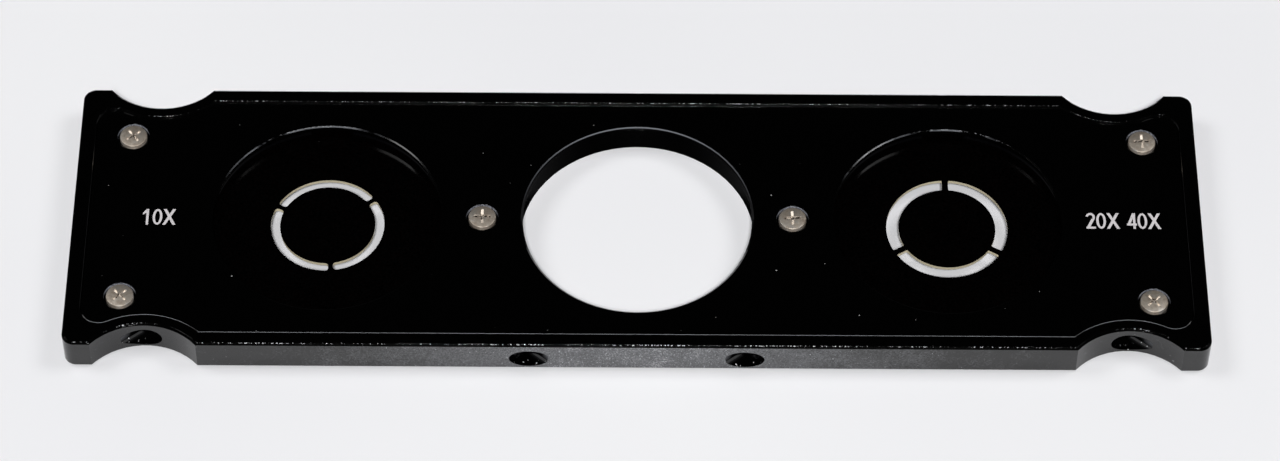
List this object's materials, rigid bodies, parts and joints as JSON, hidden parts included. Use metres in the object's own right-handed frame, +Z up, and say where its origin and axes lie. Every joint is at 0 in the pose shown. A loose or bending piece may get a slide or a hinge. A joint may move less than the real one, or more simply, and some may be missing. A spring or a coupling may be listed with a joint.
{
  "type": "phase contrast slider",
  "caption": "Flat condenser slider with an open middle position and two ring-slot annulus discs in holders that set screws centre against leaf springs.",
  "frame": {"origin": "middle of the plate's underside, below the middle opening's centre", "axes": "+X along the plate towards the 20X 40X station, +Y towards the edge with the detent grooves, +Z up, towards the cover"},
  "size_m": [0.16, 0.0454, 0.0053],
  "materials": {
    "plate_black": "black anodised aluminium, satin",
    "cover_black": "black anodised aluminium, satin",
    "disc_black": "matt blackened brass",
    "holder_black": "black anodised aluminium, satin",
    "screw_nickel": "nickel-plated steel, worn",
    "set_screw_black": "black oxide steel",
    "spring_steel": "bare spring steel"
  },
  "bodies": {
    "slider": {"slider_body": "plate_black", "cover_plate": "cover_black", "cover_screw_left_front": "screw_nickel", "cover_screw_left_rear": "screw_nickel", "cover_screw_middle_left": "screw_nickel", "cover_screw_middle_right": "screw_nickel", "cover_screw_right_front": "screw_nickel", "cover_screw_right_rear": "screw_nickel", "leaf_spring_left": "spring_steel", "leaf_spring_right": "spring_steel"},
    "left_outer_screw": {"centring_screw_left_outer": "set_screw_black"},
    "10x_holder": {"holder_10x": "holder_black", "annulus_10x": "disc_black", "retaining_ring_10x": "spring_steel"},
    "left_inner_screw": {"centring_screw_left_inner": "set_screw_black"},
    "right_outer_screw": {"centring_screw_right_outer": "set_screw_black"},
    "20x_40x_holder": {"holder_20x_40x": "holder_black", "annulus_20x_40x": "disc_black", "retaining_ring_20x_40x": "spring_steel"},
    "right_inner_screw": {"centring_screw_right_inner": "set_screw_black"}
  },
  "joints": [
    {"name": "left_outer_screw_travel", "type": "slide", "parent": "slider", "child": "left_outer_screw", "axis": [0.7872, 0.6167, 0], "range_m": [-0.0006, 0.0006], "deforming": ["leaf_spring_left"]},
    {"name": "10x_holder_shift", "type": "slide", "parent": "left_outer_screw", "child": "10x_holder", "axis": [-0.6167, 0.7872, 0], "range_m": [-0.0006, 0.0006], "deforming": ["leaf_spring_left"]},
    {"name": "left_inner_screw_travel", "type": "slide", "parent": "slider", "child": "left_inner_screw", "axis": [-0.7872, 0.6167, 0], "range_m": [-0.00058, 0.00058]},
    {"name": "right_outer_screw_travel", "type": "slide", "parent": "slider", "child": "right_outer_screw", "axis": [-0.7872, 0.6167, 0], "range_m": [-0.0006, 0.0006], "deforming": ["leaf_spring_right"]},
    {"name": "20x_40x_holder_shift", "type": "slide", "parent": "right_outer_screw", "child": "20x_40x_holder", "axis": [0.6167, 0.7872, 0], "range_m": [-0.0006, 0.0006], "deforming": ["leaf_spring_right"]},
    {"name": "right_inner_screw_travel", "type": "slide", "parent": "slider", "child": "right_inner_screw", "axis": [0.7872, 0.6167, 0], "range_m": [-0.00058, 0.00058]}
  ],
  "couplings": [
    {"joint": "left_inner_screw_travel", "follows": "10x_holder_shift", "ratio": 0.9709},
    {"joint": "right_inner_screw_travel", "follows": "20x_40x_holder_shift", "ratio": 0.9709}
  ]
}
